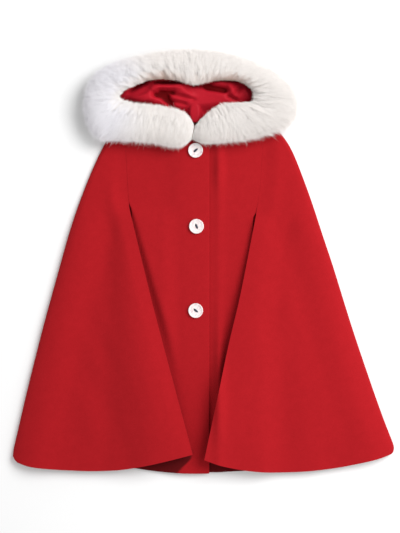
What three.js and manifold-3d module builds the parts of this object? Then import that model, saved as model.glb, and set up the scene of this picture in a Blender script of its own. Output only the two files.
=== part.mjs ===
// Child's hooded wool cape with a fur-trimmed hood, buttoned up and laid flat on its back.
// Millimetres. X runs across the cape, Y from the hem to the hood, Z up from the surface it lies on.
// "Right" and "left" are the wearer's own: right is towards -X.

import * as THREE from "three";
import { mergeVertices } from "three/addons/utils/BufferGeometryUtils.js";
import Module from "manifold-3d";

const wasm = await Module();
wasm.setup();

// Driving sizes
const woolThickness = 2.4;
const satinThickness = 1.0;
const seamGap = 0.3;
const layerGap = 0.8;
const layerStep = woolThickness + layerGap;

// Front closing: the right front laps over the left one, evenly about the button line
const buttonLineX = 3;
const buttonStand = 18.4;
const lapRamp = 28;
const underlapShorter = 1.5;

// Neck: both necklines sag towards the middle
const neckHalfWidth = 78;
const neckPointY = 503;
const frontNeckDip = 15.5;
const backNeckDip = 12.7;
const seamTopX = 97;
const shoulderX = 104;
const shoulderDrop = 6;
const shoulderEndDrop = 10;

// Hem of the two fronts, which hangs a little higher towards each side
const frontHemY0 = 1.6;
const frontHemHalfWidth = 86;
const frontHemRise = { right: 8, left: 3.2 };

// Arm slits: the fronts' free edges are turned in, and the side panels climb onto the fronts
const slitTurnIn = 4;
const slitTurnLength = 4;
const firstClimbLength = 14;
const secondClimbStart = 40;
const secondClimbLength = 100;
const climbRamp = 36;

// Side seams: the side panel turns down over the edge of the back panel
const turnWidth = 2.4;
const turnSlant = 0.3;
const backInset = 3.1;
const backCornerInset = 3;
const backCornerLength = 34;
const backHemInset = 2;
const rolledEdgeZ = 2.2;
const rolledShoulderDrop = 0.9;

// Hood: a bag pressed flat, its front edge folded over all round the mouth
const rimRadius = 7;
const flangeWidth = 9;
const rimShare = 0.38;
const spineTopY = 556;
const hoodNeckColumns = 5;
const hoodSideColumns = 3;
const rimArcColumns = 5;
const hoodRows = 12;

// Fur trim: the heights of its underside at its outer edge, its middle and its inner edge
const onCape = 2 * layerStep + woolThickness + layerGap;
const onRim = 2 * rimRadius + seamGap;
const aboveFloor = 3.5;
const aboveLining = 9.5;
const furUnderside = {
  cape: { foot: onCape, seat: onCape, lip: onCape },
  shoulder: { foot: onCape, seat: onRim, lip: onRim },
  rim: { foot: aboveFloor, seat: onRim, lip: onRim },
  hood: { foot: aboveFloor, seat: onRim, lip: aboveLining },
};
const furStations = 56;
const furCapWidth = 20;

// Shell buttons
const buttonRadius = 10.5;
const buttonHeight = 3.2;
const threadHoleRadius = 0.95;
const threadHoleSpacing = 4.4;
const eyeLength = 9;
const eyeWidth = 3.6;
const eyeDepth = 0.7;

// Grid of the cloth panels
const panelRows = 24;
const cornerRowShare = 0.014;
const sideColumns = 17;
const frontColumns = 8;
const backColumns = 16;

// Each side of the cape as laid out: silhouette, hem and slit, from the hem upwards or the outside inwards
const capeSides = {
  right: {
    sign: -1,
    silhouette: [
      { y: 19.4, x: -249.4 },
      { y: 25, x: -253.8 },
      { y: 32, x: -253.4 },
      { y: 47, x: -249.6 },
      { y: 114, x: -234 },
      { y: 204, x: -211.4 },
      { y: 293, x: -187 },
      { y: 338, x: -174.4 },
      { y: 383, x: -159.2 },
      { y: 428, x: -141.3 },
      { y: 450, x: -131 },
      { y: 472, x: -119.5 },
      { y: neckPointY - shoulderEndDrop, x: -shoulderX },
    ],
    hem: [
      { x: -249.4, y: 19.4 },
      { x: -243, y: 15.4 },
      { x: -226, y: 11.6 },
      { x: -209, y: 9.6 },
      { x: -187, y: 7.4 },
      { x: -140, y: 5.7 },
      { x: -104, y: 7.6 },
      { x: -83, y: 11 },
      { x: -41, y: 20.6 },
      { x: -1.3, y: 30.3 },
    ],
    slit: [
      { y: 30.3, x: -1.3 },
      { y: 188.3, x: -44 },
      { y: 243.9, x: -58.6 },
      { y: 376.3, x: -91 },
    ],
    princessSeam: [
      { y: 376.3, x: -91 },
      { y: 435, x: -94.5 },
      { y: neckPointY - shoulderDrop, x: -seamTopX },
    ],
    folds: [
      { topX: -128, hemX: -205, width: 34, rise: 6 },
      { topX: -118, hemX: -150, width: 22, rise: 5 },
      { topX: -98, hemX: -62, width: 20, rise: 3.5 },
    ],
    cornerLift: 9,
  },
  left: {
    sign: 1,
    silhouette: [
      { y: 31, x: 277.8 },
      { y: 36, x: 280.8 },
      { y: 42, x: 279 },
      { y: 69, x: 268.2 },
      { y: 114, x: 252 },
      { y: 204, x: 221.5 },
      { y: 293, x: 193.8 },
      { y: 338, x: 178.6 },
      { y: 383, x: 164 },
      { y: 428, x: 147.4 },
      { y: 450, x: 138.6 },
      { y: 472, x: 126.4 },
      { y: neckPointY - shoulderEndDrop, x: shoulderX },
    ],
    hem: [
      { x: 277.8, y: 31 },
      { x: 269, y: 26.6 },
      { x: 244, y: 20 },
      { x: 225, y: 15.6 },
      { x: 205, y: 11.2 },
      { x: 186, y: 8.6 },
      { x: 146, y: 4.7 },
      { x: 107, y: 4.3 },
      { x: 95, y: 5.2 },
      { x: 64, y: 8.8 },
      { x: 36, y: 15.4 },
      { x: 13.9, y: 23.4 },
    ],
    slit: [
      { y: 23.4, x: 13.9 },
      { y: 188.3, x: 49.1 },
      { y: 243.9, x: 62.6 },
      { y: 364.2, x: 86.6 },
    ],
    princessSeam: [
      { y: 364.2, x: 86.6 },
      { y: 410, x: 93.2 },
      { y: neckPointY - shoulderDrop, x: seamTopX },
    ],
    folds: [
      { topX: 132, hemX: 232, width: 36, rise: 6 },
      { topX: 118, hemX: 168, width: 26, rise: 4 },
      { topX: 96, hemX: 92, width: 24, rise: 4.5 },
    ],
    cornerLift: 9,
  },
};

// The fur trim as it lies, from its right end at the neck, round the mouth, to its left end
const furSections = [
  { outer: [-3.1, 466.5], inner: [0.5, 486], crown: 24, under: "cape" },
  { outer: [-14, 457.5], inner: [-6, 497.5], crown: 31, under: "cape" },
  { outer: [-28.5, 455.5], inner: [-19.5, 508], crown: 34, under: "cape" },
  { outer: [-55.5, 460.5], inner: [-49.5, 513.5], crown: 34, under: "cape" },
  { outer: [-91, 463.5], inner: [-77, 516], crown: 34, under: "cape" },
  { outer: [-130, 462.5], inner: [-93, 518.5], crown: 36, under: "shoulder" },
  { outer: [-148.5, 485.5], inner: [-101.5, 522], crown: 37, under: "rim" },
  { outer: [-153, 521], inner: [-103.5, 525.5], crown: 38, under: "hood" },
  { outer: [-143, 550], inner: [-96, 534], crown: 38, under: "hood" },
  { outer: [-117, 570.5], inner: [-77, 543], crown: 38, under: "hood" },
  { outer: [-79.5, 585], inner: [-55.5, 549.5], crown: 37, under: "hood" },
  { outer: [-37.5, 593], inner: [-25.5, 548.5], crown: 37, under: "hood" },
  { outer: [0, 595], inner: [0, 541.5], crown: 37, under: "hood" },
  { outer: [47.5, 589.5], inner: [32, 548], crown: 37, under: "hood" },
  { outer: [91.5, 574], inner: [61.5, 546.5], crown: 38, under: "hood" },
  { outer: [125, 552.5], inner: [78.5, 536.5], crown: 38, under: "hood" },
  { outer: [144.5, 526], inner: [83, 526.5], crown: 38, under: "hood" },
  { outer: [143, 496.5], inner: [79.5, 518.5], crown: 37, under: "rim" },
  { outer: [123, 479], inner: [61.5, 516.5], crown: 36, under: "shoulder" },
  { outer: [83.5, 467], inner: [43.5, 516.5], crown: 34, under: "cape" },
  { outer: [43.5, 459], inner: [27, 509.5], crown: 34, under: "cape" },
  { outer: [15, 458], inner: [11.5, 496.5], crown: 31, under: "cape" },
  { outer: [-2.4, 466.5], inner: [1.5, 486], crown: 24, under: "cape" },
];
const neckEndSection = { right: 6, left: 17 };
const crownSection = 12;

// Crumples of the lining that show in the mouth
const liningCrumples = [
  { x: -62, y: 528, length: 34, width: 8, turn: 12, rise: 5 },
  { x: -38, y: 538, length: 30, width: 6, turn: -16, rise: 5.5 },
  { x: 46, y: 536, length: 22, width: 7, turn: -14, rise: 5 },
];

const buttonRows = [
  { name: "button_top", x: 2.2, y: 452.1, turn: 40 },
  { name: "button_middle", x: 3.5, y: 346.4, turn: -68 },
  { name: "button_bottom", x: 2.4, y: 229.2, turn: -40 },
];

const woolMaterial = new THREE.MeshStandardMaterial({ color: "#b61e25", roughness: 0.95, metalness: 0 });
const satinMaterial = new THREE.MeshStandardMaterial({ color: "#a31722", roughness: 0.45, metalness: 0 });
const furMaterial = new THREE.MeshStandardMaterial({ color: "#ece8e4", roughness: 0.9, metalness: 0 });
const shellMaterial = new THREE.MeshStandardMaterial({ color: "#f3ece8", roughness: 0.25, metalness: 0 });

// Number helpers

const lerp = THREE.MathUtils.lerp;
const mix = (a, b, t) => [lerp(a[0], b[0], t), lerp(a[1], b[1], t)];
const rise01 = (t) => THREE.MathUtils.smoothstep(t, 0, 1);
const bell = (distance, width) => Math.exp(-((distance / width) ** 2));
const steps = (count) => Array.from({ length: count + 1 }, (_, i) => i / count);

// The smooth curve through a table's rows: the value of one column where another has the value given.
function through(rows, along, across, at) {
  const direction = Math.sign(rows.at(-1)[along] - rows[0][along]);
  let i = 0;
  while (i < rows.length - 2 && (at - rows[i + 1][along]) * direction > 0) i += 1;
  const slope = (a, b) => (rows[b][across] - rows[a][across]) / (rows[b][along] - rows[a][along]);
  const span = rows[i + 1][along] - rows[i][along];
  const startSlope = slope(Math.max(i - 1, 0), i + 1);
  const endSlope = slope(i, Math.min(i + 2, rows.length - 1));
  const t = (at - rows[i][along]) / span;
  return (
    (2 * t ** 3 - 3 * t ** 2 + 1) * rows[i][across] +
    (t ** 3 - 2 * t ** 2 + t) * span * startSlope +
    (3 * t ** 2 - 2 * t ** 3) * rows[i + 1][across] +
    (t ** 3 - t ** 2) * span * endSlope
  );
}

// The patch of surface that four edges span: two run across it, and start and end run up its sides.
function patch(bottom, top, start, end) {
  const corners = [bottom(0), bottom(1), top(0), top(1)];
  return (u, v) =>
    [0, 1].map(
      (k) =>
        lerp(bottom(u)[k], top(u)[k], v) +
        lerp(start(v)[k], end(v)[k], u) -
        lerp(lerp(corners[0][k], corners[1][k], u), lerp(corners[2][k], corners[3][k], u), v),
    );
}

// Solids from grids of points

// A geometry from triangles of points, its shared corners merged and its faces turned outwards.
function closedGeometry(triangles) {
  const soup = new THREE.BufferGeometry();
  soup.setAttribute("position", new THREE.Float32BufferAttribute(triangles.flat(2), 3));
  const merged = mergeVertices(soup, 1e-3);
  const index = merged.index.array;
  const position = merged.getAttribute("position");
  const corner = (i) => new THREE.Vector3().fromBufferAttribute(position, index[i]);
  const kept = [];
  let volume = 0;
  for (let i = 0; i < index.length; i += 3) {
    if (index[i] === index[i + 1] || index[i + 1] === index[i + 2] || index[i] === index[i + 2]) continue;
    kept.push(index[i], index[i + 1], index[i + 2]);
    volume += corner(i).dot(corner(i + 1).cross(corner(i + 2)));
  }
  merged.setIndex(volume < 0 ? kept.reverse() : kept);
  merged.computeVertexNormals();
  return merged;
}

const quad = (a, b, c, d) => [
  [a, b, c],
  [a, c, d],
];

// The wall of cloth between a grid of points on its one face and the same grid on its other face.
// A zipped wall has no top rim, because its last row runs up one side of a line and down the other.
function clothWall(under, over, zipped = false) {
  const triangles = [];
  const rows = under.length - 1;
  const columns = under[0].length - 1;
  for (let r = 0; r < rows; r += 1) {
    for (let c = 0; c < columns; c += 1) {
      triangles.push(...quad(over[r][c], over[r][c + 1], over[r + 1][c + 1], over[r + 1][c]));
      triangles.push(...quad(under[r][c], under[r + 1][c], under[r + 1][c + 1], under[r][c + 1]));
    }
    triangles.push(...quad(under[r][0], over[r][0], over[r + 1][0], under[r + 1][0]));
    triangles.push(...quad(under[r][columns], under[r + 1][columns], over[r + 1][columns], over[r][columns]));
  }
  for (let c = 0; c < columns; c += 1) {
    triangles.push(...quad(under[0][c], under[0][c + 1], over[0][c + 1], over[0][c]));
    if (!zipped) {
      triangles.push(...quad(under[rows][c], over[rows][c], over[rows][c + 1], under[rows][c + 1]));
    }
  }
  return closedGeometry(triangles);
}

// How the panels lie on each other

const woolMesh = (name, geometry) => {
  const mesh = new THREE.Mesh(geometry, woolMaterial);
  mesh.name = name;
  return mesh;
};

const neckSag = (x) => Math.max(0, 1 - (x / neckHalfWidth) ** 2);
const frontNeckY = (x) => neckPointY - frontNeckDip * neckSag(x);
const backNeckY = (x) => neckPointY + seamGap - backNeckDip * neckSag(x);
const shoulderSlope = shoulderDrop / (seamTopX - neckHalfWidth);
const frontTopY = (x) => frontNeckY(x) - Math.max(0, Math.abs(x) - neckHalfWidth) * shoulderSlope;
const frontHemY = (x) =>
  frontHemY0 + (x < 0 ? frontHemRise.right : frontHemRise.left) * (x / frontHemHalfWidth) ** 2;

// How much higher than the left front the right front lies, where it laps over it.
const lapRise = (x) => rise01((x - (buttonLineX - buttonStand - layerGap - lapRamp)) / lapRamp);
const rightFrontUnder = (x) => layerStep * (1 + lapRise(x));

const slitTopOf = (side) => side.slit.at(-1);
const freeEdgeX = (side) => slitTopOf(side).x - side.sign * slitTurnIn;

// The side edge of a front: free and turned in below the slit's top, sewn to the side panel above it.
function frontSideX(side, y) {
  const top = slitTopOf(side);
  if (y >= top.y) return through(side.princessSeam, "y", "x", y);
  return lerp(freeEdgeX(side), top.x, Math.max(0, 1 - (top.y - y) / slitTurnLength));
}

// The front edge of a side panel, a seam's gap outside the front above the slit's top.
function sidePanelFrontX(side, y) {
  const rows = y >= slitTopOf(side).y ? side.princessSeam : side.slit;
  return through(rows, "y", "x", y) + side.sign * seamGap;
}

// How high the underside of a side panel lies, with its soft folds and its lifted front corner.
function sidePanelUnder(side, x, y) {
  const top = slitTopOf(side);
  const below = top.y - y;
  const climb = rise01(below / firstClimbLength) + rise01((below - secondClimbStart) / secondClimbLength);
  const outside = side.sign * (x - freeEdgeX(side)) - slitTurnIn;
  const onFront = 1 - rise01(outside / climbRamp);
  const grown = rise01(1 - y / slitTopOf(side).y);
  const folds = side.folds.map((f) => f.rise * bell(x - lerp(f.hemX, f.topX, y / top.y), f.width));
  const fromEdge = side.sign * (x - through(side.slit, "y", "x", Math.min(y, top.y)));
  const lift = side.cornerLift * rise01(1 - y / (0.5 * top.y)) * bell(fromEdge, 45);
  const silhouette = through(side.silhouette, "y", "x", y);
  const clearOfEdge = rise01((side.sign * (silhouette - x) - turnWidth) / 30);
  return layerStep * (1 + climb * onFront) + clearOfEdge * grown * folds.reduce((a, b) => a + b, 0) + lift;
}

// Panels

// Rows from 0 at the hem to 1 at the top, with rows of their own round the corner and at the slit's top.
function rowShares(hemY, topY, ownHeights) {
  const own = [cornerRowShare, ...ownHeights.map((y) => (y - hemY) / (topY - hemY))];
  const even = steps(panelRows).filter((v) => own.every((o) => Math.abs(o - v) > 0.25 / panelRows));
  return [...even, ...own].sort((a, b) => a - b);
}

// A front: from its side edge, across, to its edge at the closing.
function frontPanel(side, closingX, hemLift, underAt) {
  const sideHem = [freeEdgeX(side), frontHemY(freeEdgeX(side)) + hemLift];
  const sideTopY = slitTopOf(side).y;
  const seamTopY = side.princessSeam.at(-1).y;
  const seamX = side.princessSeam.at(-1).x;
  const at = patch(
    (u) => [lerp(sideHem[0], closingX, u), frontHemY(lerp(sideHem[0], closingX, u)) + hemLift],
    (u) => [lerp(seamX, closingX, u), frontTopY(lerp(seamX, closingX, u))],
    (v) => [frontSideX(side, lerp(sideHem[1], seamTopY, v)), lerp(sideHem[1], seamTopY, v)],
    (v) => [closingX, lerp(frontHemY(closingX) + hemLift, frontTopY(closingX), v)],
  );
  const shares = rowShares(sideHem[1], seamTopY, [sideTopY - slitTurnLength, sideTopY]);
  const plan = shares.map((v) => steps(frontColumns).map((u) => at(u, v)));
  const under = plan.map((row) => row.map(([x, y]) => [x, y, underAt(x)]));
  const over = plan.map((row) => row.map(([x, y]) => [x, y, underAt(x) + woolThickness]));
  return clothWall(under, over);
}

// A side panel: from its edge at the side seam, where it turns down to the floor, to its front edge.
function sidePanel(side) {
  const inward = -side.sign;
  const hemStart = side.hem[0];
  const hemEnd = side.hem.at(-1);
  const topY = slitTopOf(side).y;
  const seamTop = side.princessSeam.at(-1);
  const shoulder = side.silhouette.at(-1);
  const turnEnd = turnWidth + turnSlant;
  const outerAt = (v) => {
    const y = lerp(hemStart.y, shoulder.y, v);
    return [through(side.silhouette, "y", "x", y), y];
  };
  const hemFrom = hemStart.x + inward * turnEnd;
  const hemAt = (u) => {
    const x = lerp(hemFrom, hemEnd.x + side.sign * seamGap, u);
    return [x, through(side.hem, "x", "y", x)];
  };
  const innerTop = [seamTop.x + side.sign * seamGap, seamTop.y];
  const at = patch(
    hemAt,
    (u) => mix([shoulder.x + inward * turnEnd, shoulder.y], innerTop, u),
    (v) => [outerAt(v)[0] + inward * turnEnd, lerp(hemAt(0)[1], shoulder.y, v)],
    (v) => {
      const y = lerp(hemEnd.y, seamTop.y, v);
      return [sidePanelFrontX(side, y), y];
    },
  );
  const shares = rowShares(hemEnd.y, seamTop.y, [topY - firstClimbLength, topY]);
  const under = [];
  const over = [];
  for (const v of shares) {
    const [edgeX, edgeY] = outerAt(v);
    const cloth = steps(sideColumns).map((u) => at(u, v));
    const low = cloth.map(([x, y]) => [x, y, sidePanelUnder(side, x, y)]);
    const high = low.map(([x, y, z]) => [x, y, z + woolThickness]);
    const [firstX, firstY, firstZ] = high[0];
    high[0] = [firstX, firstY, firstZ - rolledShoulderDrop];
    under.push([[edgeX, edgeY, 0], [edgeX + inward * turnWidth, edgeY, 0], ...low]);
    over.push([
      [edgeX, edgeY, rolledEdgeZ],
      [edgeX + inward * turnWidth * 0.5, edgeY, firstZ - 2 * rolledShoulderDrop],
      ...high,
    ]);
  }
  return clothWall(under, over);
}

// The back: one flat panel inside both side seams, its hem just short of the fronts' hems.
function backPanel() {
  const { right, left } = capeSides;
  const edgeAt = (side) => (v) => {
    const hemY = side.hem[0].y + backHemInset;
    const y = lerp(hemY, neckPointY - shoulderEndDrop, v);
    const inset = backInset + backCornerInset * rise01(1 - (y - hemY) / backCornerLength);
    return [through(side.silhouette, "y", "x", y) - side.sign * inset, y];
  };
  const hemUnder = [
    { x: edgeAt(right)(0)[0], y: edgeAt(right)(0)[1] },
    { x: -220, y: 13.4 },
    { x: -160, y: 8.4 },
    { x: -86, y: 11 },
    { x: 0, y: frontHemY0 + backHemInset },
    { x: 86, y: 6.6 },
    { x: 150, y: 7.6 },
    { x: 220, y: 17 },
    { x: edgeAt(left)(0)[0], y: edgeAt(left)(0)[1] },
  ];
  const hem = (u) => {
    const x = lerp(hemUnder[0].x, hemUnder.at(-1).x, u);
    return [x, through(hemUnder, "x", "y", x)];
  };
  const topX = (u) => lerp(edgeAt(right)(1)[0], edgeAt(left)(1)[0], u);
  const topY = (x) => {
    const pastNeck = Math.max(0, Math.abs(x) - neckHalfWidth);
    const slope = shoulderEndDrop / (shoulderX - backInset - neckHalfWidth);
    return backNeckY(x) - seamGap - pastNeck * slope;
  };
  const at = patch(hem, (u) => [topX(u), topY(topX(u))], edgeAt(right), edgeAt(left));
  const plan = steps(panelRows).map((v) => steps(backColumns).map((u) => at(u, v)));
  const under = plan.map((row) => row.map(([x, y]) => [x, y, 0]));
  const over = plan.map((row) => row.map(([x, y]) => [x, y, woolThickness]));
  return clothWall(under, over);
}

// Hood and trim

const furCurve = (edge) =>
  new THREE.CatmullRomCurve3(furSections.map((s) => new THREE.Vector3(s[edge][0], s[edge][1], 0)));
const furOuter = furCurve("outer");
const furInner = furCurve("inner");
const furAt = (share) => {
  const outer = furOuter.getPoint(share);
  const inner = furInner.getPoint(share);
  return { outer: [outer.x, outer.y], inner: [inner.x, inner.y] };
};

// Half of the hood from its middle line outwards: floor, rolled rim and folded edge, on both faces.
function hoodHalfGrid(sideName, seamOffset, lift, thickness, crumple) {
  const lastSection = furSections.length - 1;
  const share = (v) => lerp(neckEndSection[sideName], crownSection, v) / lastSection;
  const rimBase = (v) => {
    const { outer, inner } = furAt(share(v));
    return mix(outer, inner, rimShare);
  };
  const outward = (v) => {
    const { outer, inner } = furAt(share(v));
    return new THREE.Vector2(outer[0] - inner[0], outer[1] - inner[1]).normalize();
  };
  const spineX = seamOffset;
  const spineY = backNeckY(0);
  const sideways = (point) => [point[0] + seamOffset, point[1]];
  const neckEnd = sideways(rimBase(0));
  const crown = sideways(rimBase(1));
  const neckShare = (neckHalfWidth - Math.abs(spineX)) / (Math.abs(neckEnd[0]) - Math.abs(spineX));
  const neckEdgeShares = [
    ...steps(hoodNeckColumns).map((u) => u * neckShare),
    ...steps(hoodSideColumns).map((u) => lerp(neckShare, 1, u)).slice(1),
  ];
  const crownShares = steps(hoodNeckColumns + hoodSideColumns);
  const floorAt = patch(
    (u) => {
      const x = lerp(spineX, neckEnd[0], u);
      const pastNeck = Math.max(0, (u - neckShare) / (1 - neckShare));
      return [x, lerp(backNeckY(x), neckEnd[1], pastNeck)];
    },
    (u) => mix([spineX, spineTopY], crown, u),
    (v) => [spineX, lerp(spineY, spineTopY, v)],
    (v) => sideways(rimBase(v)),
  );
  const outerRadius = rimRadius - lift;
  const innerRadius = outerRadius - thickness;
  const rows = { under: [], over: [] };
  for (const v of steps(hoodRows)) {
    const floor = neckEdgeShares.map((u, i) => floorAt(lerp(u, crownShares[i], v), v));
    const under = floor.map(([x, y]) => [x, y, lift + crumple(x, y)]);
    const over = under.map(([x, y, z]) => [x, y, z + thickness]);
    const base = sideways(rimBase(v));
    const direction = outward(v);
    for (const turn of steps(rimArcColumns).slice(1)) {
      const angle = turn * Math.PI;
      const onArc = (radius) => [
        base[0] + direction.x * radius * Math.sin(angle),
        base[1] + direction.y * radius * Math.sin(angle),
        rimRadius - radius * Math.cos(angle),
      ];
      under.push(onArc(outerRadius));
      over.push(onArc(innerRadius));
    }
    const edge = [base[0] - direction.x * flangeWidth, base[1] - direction.y * flangeWidth];
    under.push([...edge, rimRadius + outerRadius]);
    over.push([...edge, rimRadius + innerRadius]);
    rows.under.push(under);
    rows.over.push(over);
  }
  return rows;
}

const noCrumple = () => 0;

function hoodShell(sideName) {
  const offset = (capeSides[sideName].sign * seamGap) / 2;
  const { under, over } = hoodHalfGrid(sideName, offset, 0, woolThickness, noCrumple);
  return clothWall(under, over);
}

// The soft ridges that the lining lies in, each a long bell across its own line.
function liningCrumple(x, y) {
  return liningCrumples.reduce((height, c) => {
    const turn = THREE.MathUtils.degToRad(c.turn);
    const along = (x - c.x) * Math.cos(turn) + (y - c.y) * Math.sin(turn);
    const across = (y - c.y) * Math.cos(turn) - (x - c.x) * Math.sin(turn);
    return height + c.rise * bell(along, c.length) * bell(across, c.width);
  }, 0);
}

// The lining: one satin piece inside both halves of the shell.
function hoodLining() {
  const lift = woolThickness + seamGap;
  const right = hoodHalfGrid("right", 0, lift, satinThickness, liningCrumple);
  const left = hoodHalfGrid("left", 0, lift, satinThickness, liningCrumple);
  const across = (face) => right[face].map((row, i) => [...row.toReversed(), ...left[face][i].slice(1)]);
  return clothWall(across("under"), across("over"), true);
}

// The outline of the fur strip across its width: share of the width from its outer edge, and height.
const furOutline = ({ foot, seat, lip, crown }) => [
  [0.05, foot],
  [0.19, foot],
  [0.21, seat],
  [0.62, seat],
  [0.65, lip],
  [0.92, lip],
  [1, lip + 0.3 * (crown - lip)],
  [0.92, lerp(lip, crown, 0.72)],
  [0.7, lerp(lip, crown, 0.95)],
  [0.45, crown],
  [0.2, lerp(foot, crown, 0.84)],
  [0.05, lerp(foot, crown, 0.56)],
  [0, lerp(foot, crown, 0.25)],
];

const furHeights = furSections.map((s) => ({ ...furUnderside[s.under], crown: s.crown }));

function furTrim() {
  const lastSection = furSections.length - 1;
  const sections = steps(furStations).map((share) => {
    const { outer, inner } = furAt(share);
    const i = Math.min(Math.floor(share * lastSection), lastSection - 1);
    const heights = {};
    for (const [place, z] of Object.entries(furHeights[i])) {
      heights[place] = lerp(z, furHeights[i + 1][place], share * lastSection - i);
    }
    return furOutline(heights).map(([across, z]) => [...mix(outer, inner, across), z]);
  });
  const around = sections[0].length;
  const triangles = [];
  for (let s = 0; s < furStations; s += 1) {
    for (let k = 0; k < around; k += 1) {
      const next = (k + 1) % around;
      triangles.push(...quad(sections[s][k], sections[s][next], sections[s + 1][next], sections[s + 1][k]));
    }
  }
  const endCap = (heights, points) => {
    const outline = furOutline(heights).map(([across, z]) => new THREE.Vector2(across * furCapWidth, z));
    return THREE.ShapeUtils.triangulateShape(outline, []).map((face) => face.map((i) => points[i]));
  };
  triangles.push(...endCap(furHeights[0], sections[0]).map((face) => face.reverse()));
  triangles.push(...endCap(furHeights.at(-1), sections.at(-1)));
  return closedGeometry(triangles);
}

// Buttons

function solidOf(geometry) {
  const bare = geometry.clone();
  bare.deleteAttribute("normal");
  bare.deleteAttribute("uv");
  const merged = mergeVertices(bare, 1e-4);
  return new wasm.Manifold(
    new wasm.Mesh({
      numProp: 3,
      vertProperties: merged.getAttribute("position").array,
      triVerts: new Uint32Array(merged.index.array),
    }),
  );
}

function geometryOf(solid) {
  const mesh = solid.getMesh();
  const geometry = new THREE.BufferGeometry();
  geometry.setAttribute("position", new THREE.BufferAttribute(mesh.vertProperties, 3));
  geometry.setIndex(new THREE.BufferAttribute(mesh.triVerts, 1));
  geometry.computeVertexNormals();
  return geometry;
}

// A shell button with a raised rim, a long eye sunk in its middle and two thread holes in the eye.
function buttonGeometry() {
  const profile = [
    [0, 0],
    [buttonRadius - 1.4, 0],
    [buttonRadius - 0.4, 0.6],
    [buttonRadius, 1.5],
    [buttonRadius - 0.5, buttonHeight - 0.4],
    [buttonRadius - 1.4, buttonHeight],
    [buttonRadius - 2.4, buttonHeight - 0.3],
    [buttonRadius - 3.6, buttonHeight - 1],
    [0, buttonHeight - 1],
  ];
  const disc = new THREE.LatheGeometry(profile.map(([r, z]) => new THREE.Vector2(r, z)), 28);
  disc.rotateX(Math.PI / 2);
  const eye = new THREE.SphereGeometry(1, 16, 8);
  eye.scale(eyeLength / 2, eyeWidth / 2, eyeDepth);
  eye.translate(0, 0, buttonHeight - 1);
  let button = solidOf(disc).subtract(solidOf(eye));
  for (const end of [-1, 1]) {
    const hole = new THREE.CylinderGeometry(threadHoleRadius, threadHoleRadius, 3 * buttonHeight, 10);
    hole.rotateX(Math.PI / 2);
    hole.translate((end * threadHoleSpacing) / 2, 0, 0);
    button = button.subtract(solidOf(hole));
  }
  return geometryOf(button);
}

// The cape

const cape = new THREE.Group();
const overlapX = buttonLineX + buttonStand;
const underlapX = buttonLineX - buttonStand;
const rightFront = frontPanel(capeSides.right, overlapX, 0, rightFrontUnder);
const leftFront = frontPanel(capeSides.left, underlapX, underlapShorter, () => layerStep);
cape.add(woolMesh("back_panel", backPanel()));
cape.add(woolMesh("right_front", rightFront));
cape.add(woolMesh("left_front", leftFront));
for (const [sideName, side] of Object.entries(capeSides)) {
  cape.add(woolMesh(`${sideName}_side_panel`, sidePanel(side)));
  cape.add(woolMesh(`hood_shell_${sideName}`, hoodShell(sideName)));
}

const lining = new THREE.Mesh(hoodLining(), satinMaterial);
lining.name = "hood_lining";
const trim = new THREE.Mesh(furTrim(), furMaterial);
trim.name = "fur_trim";
cape.add(lining, trim);

const buttonSeatZ = rightFrontUnder(buttonLineX) + woolThickness + seamGap;
for (const row of buttonRows) {
  const button = new THREE.Mesh(buttonGeometry(), shellMaterial);
  button.name = row.name;
  button.position.set(row.x, row.y, buttonSeatZ);
  button.rotation.z = THREE.MathUtils.degToRad(row.turn);
  cape.add(button);
}

// The origin is on the floor, under the middle of the cape as it lies.
const extent = new THREE.Box3().setFromObject(cape, true);
const middle = extent.getCenter(new THREE.Vector3());
cape.position.set(-middle.x, -middle.y, 0);

export default cape;
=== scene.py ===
# A child's hooded wool cape, buttoned up and laid flat: its looks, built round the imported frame.
# Everything is in metres and in the frame's axes. Right and left are the wearer's own.

import math

import bmesh
import bpy
import numpy as np
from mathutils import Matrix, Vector


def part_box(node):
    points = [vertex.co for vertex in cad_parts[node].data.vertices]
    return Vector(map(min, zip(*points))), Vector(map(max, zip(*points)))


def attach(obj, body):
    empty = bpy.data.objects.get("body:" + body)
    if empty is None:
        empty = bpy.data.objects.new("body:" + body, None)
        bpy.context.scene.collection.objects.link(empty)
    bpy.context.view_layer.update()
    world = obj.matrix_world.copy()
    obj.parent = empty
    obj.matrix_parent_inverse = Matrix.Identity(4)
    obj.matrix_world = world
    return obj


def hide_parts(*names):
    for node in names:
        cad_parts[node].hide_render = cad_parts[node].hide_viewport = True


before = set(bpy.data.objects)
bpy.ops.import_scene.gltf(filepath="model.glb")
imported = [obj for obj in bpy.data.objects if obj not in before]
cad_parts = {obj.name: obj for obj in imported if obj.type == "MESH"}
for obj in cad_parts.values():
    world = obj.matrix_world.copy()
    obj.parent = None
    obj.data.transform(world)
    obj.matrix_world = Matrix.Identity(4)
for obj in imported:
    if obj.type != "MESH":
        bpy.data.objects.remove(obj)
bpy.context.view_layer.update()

MM = 0.001

# The cape's own drawing has its zero on the hem line, under the neck's middle. The frame's zero is
# under the middle of the whole cape, so the top button, which both know, gives the step between them.
TOP_BUTTON_X = 2.2 * MM
TOP_BUTTON_Y = 452.1 * MM
top_button_low, top_button_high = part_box("button_top")
DRAWING_X = (top_button_low[0] + top_button_high[0]) / 2 - TOP_BUTTON_X
DRAWING_Y = (top_button_low[1] + top_button_high[1]) / 2 - TOP_BUTTON_Y

# Camera
LENS_MM = 85
SENSOR_MM = 36
PHOTO_LONG_SIDE = 746 * MM
CAMERA_X = 8.4 * MM
CAMERA_Y = 290.5 * MM

# Cloth
# The colour factor of the wool's painted shade
PAINTED_SHADE_FACTOR = (0.26, 0.28, 0.28)
# Where the fronts' hems get painted shade as dark as the back's inner face, under the side panels' lifted
# corners
PAINTED_HEM_SHADE_TOP = 34
PAINTED_HEM_SHADE_EDGES = {"right": [(0, -26), (24, -3), (60, -2)], "left": [(0, 18), (60, 16)]}
PAINTED_HEM_SHADE_BLEND = 3
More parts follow.
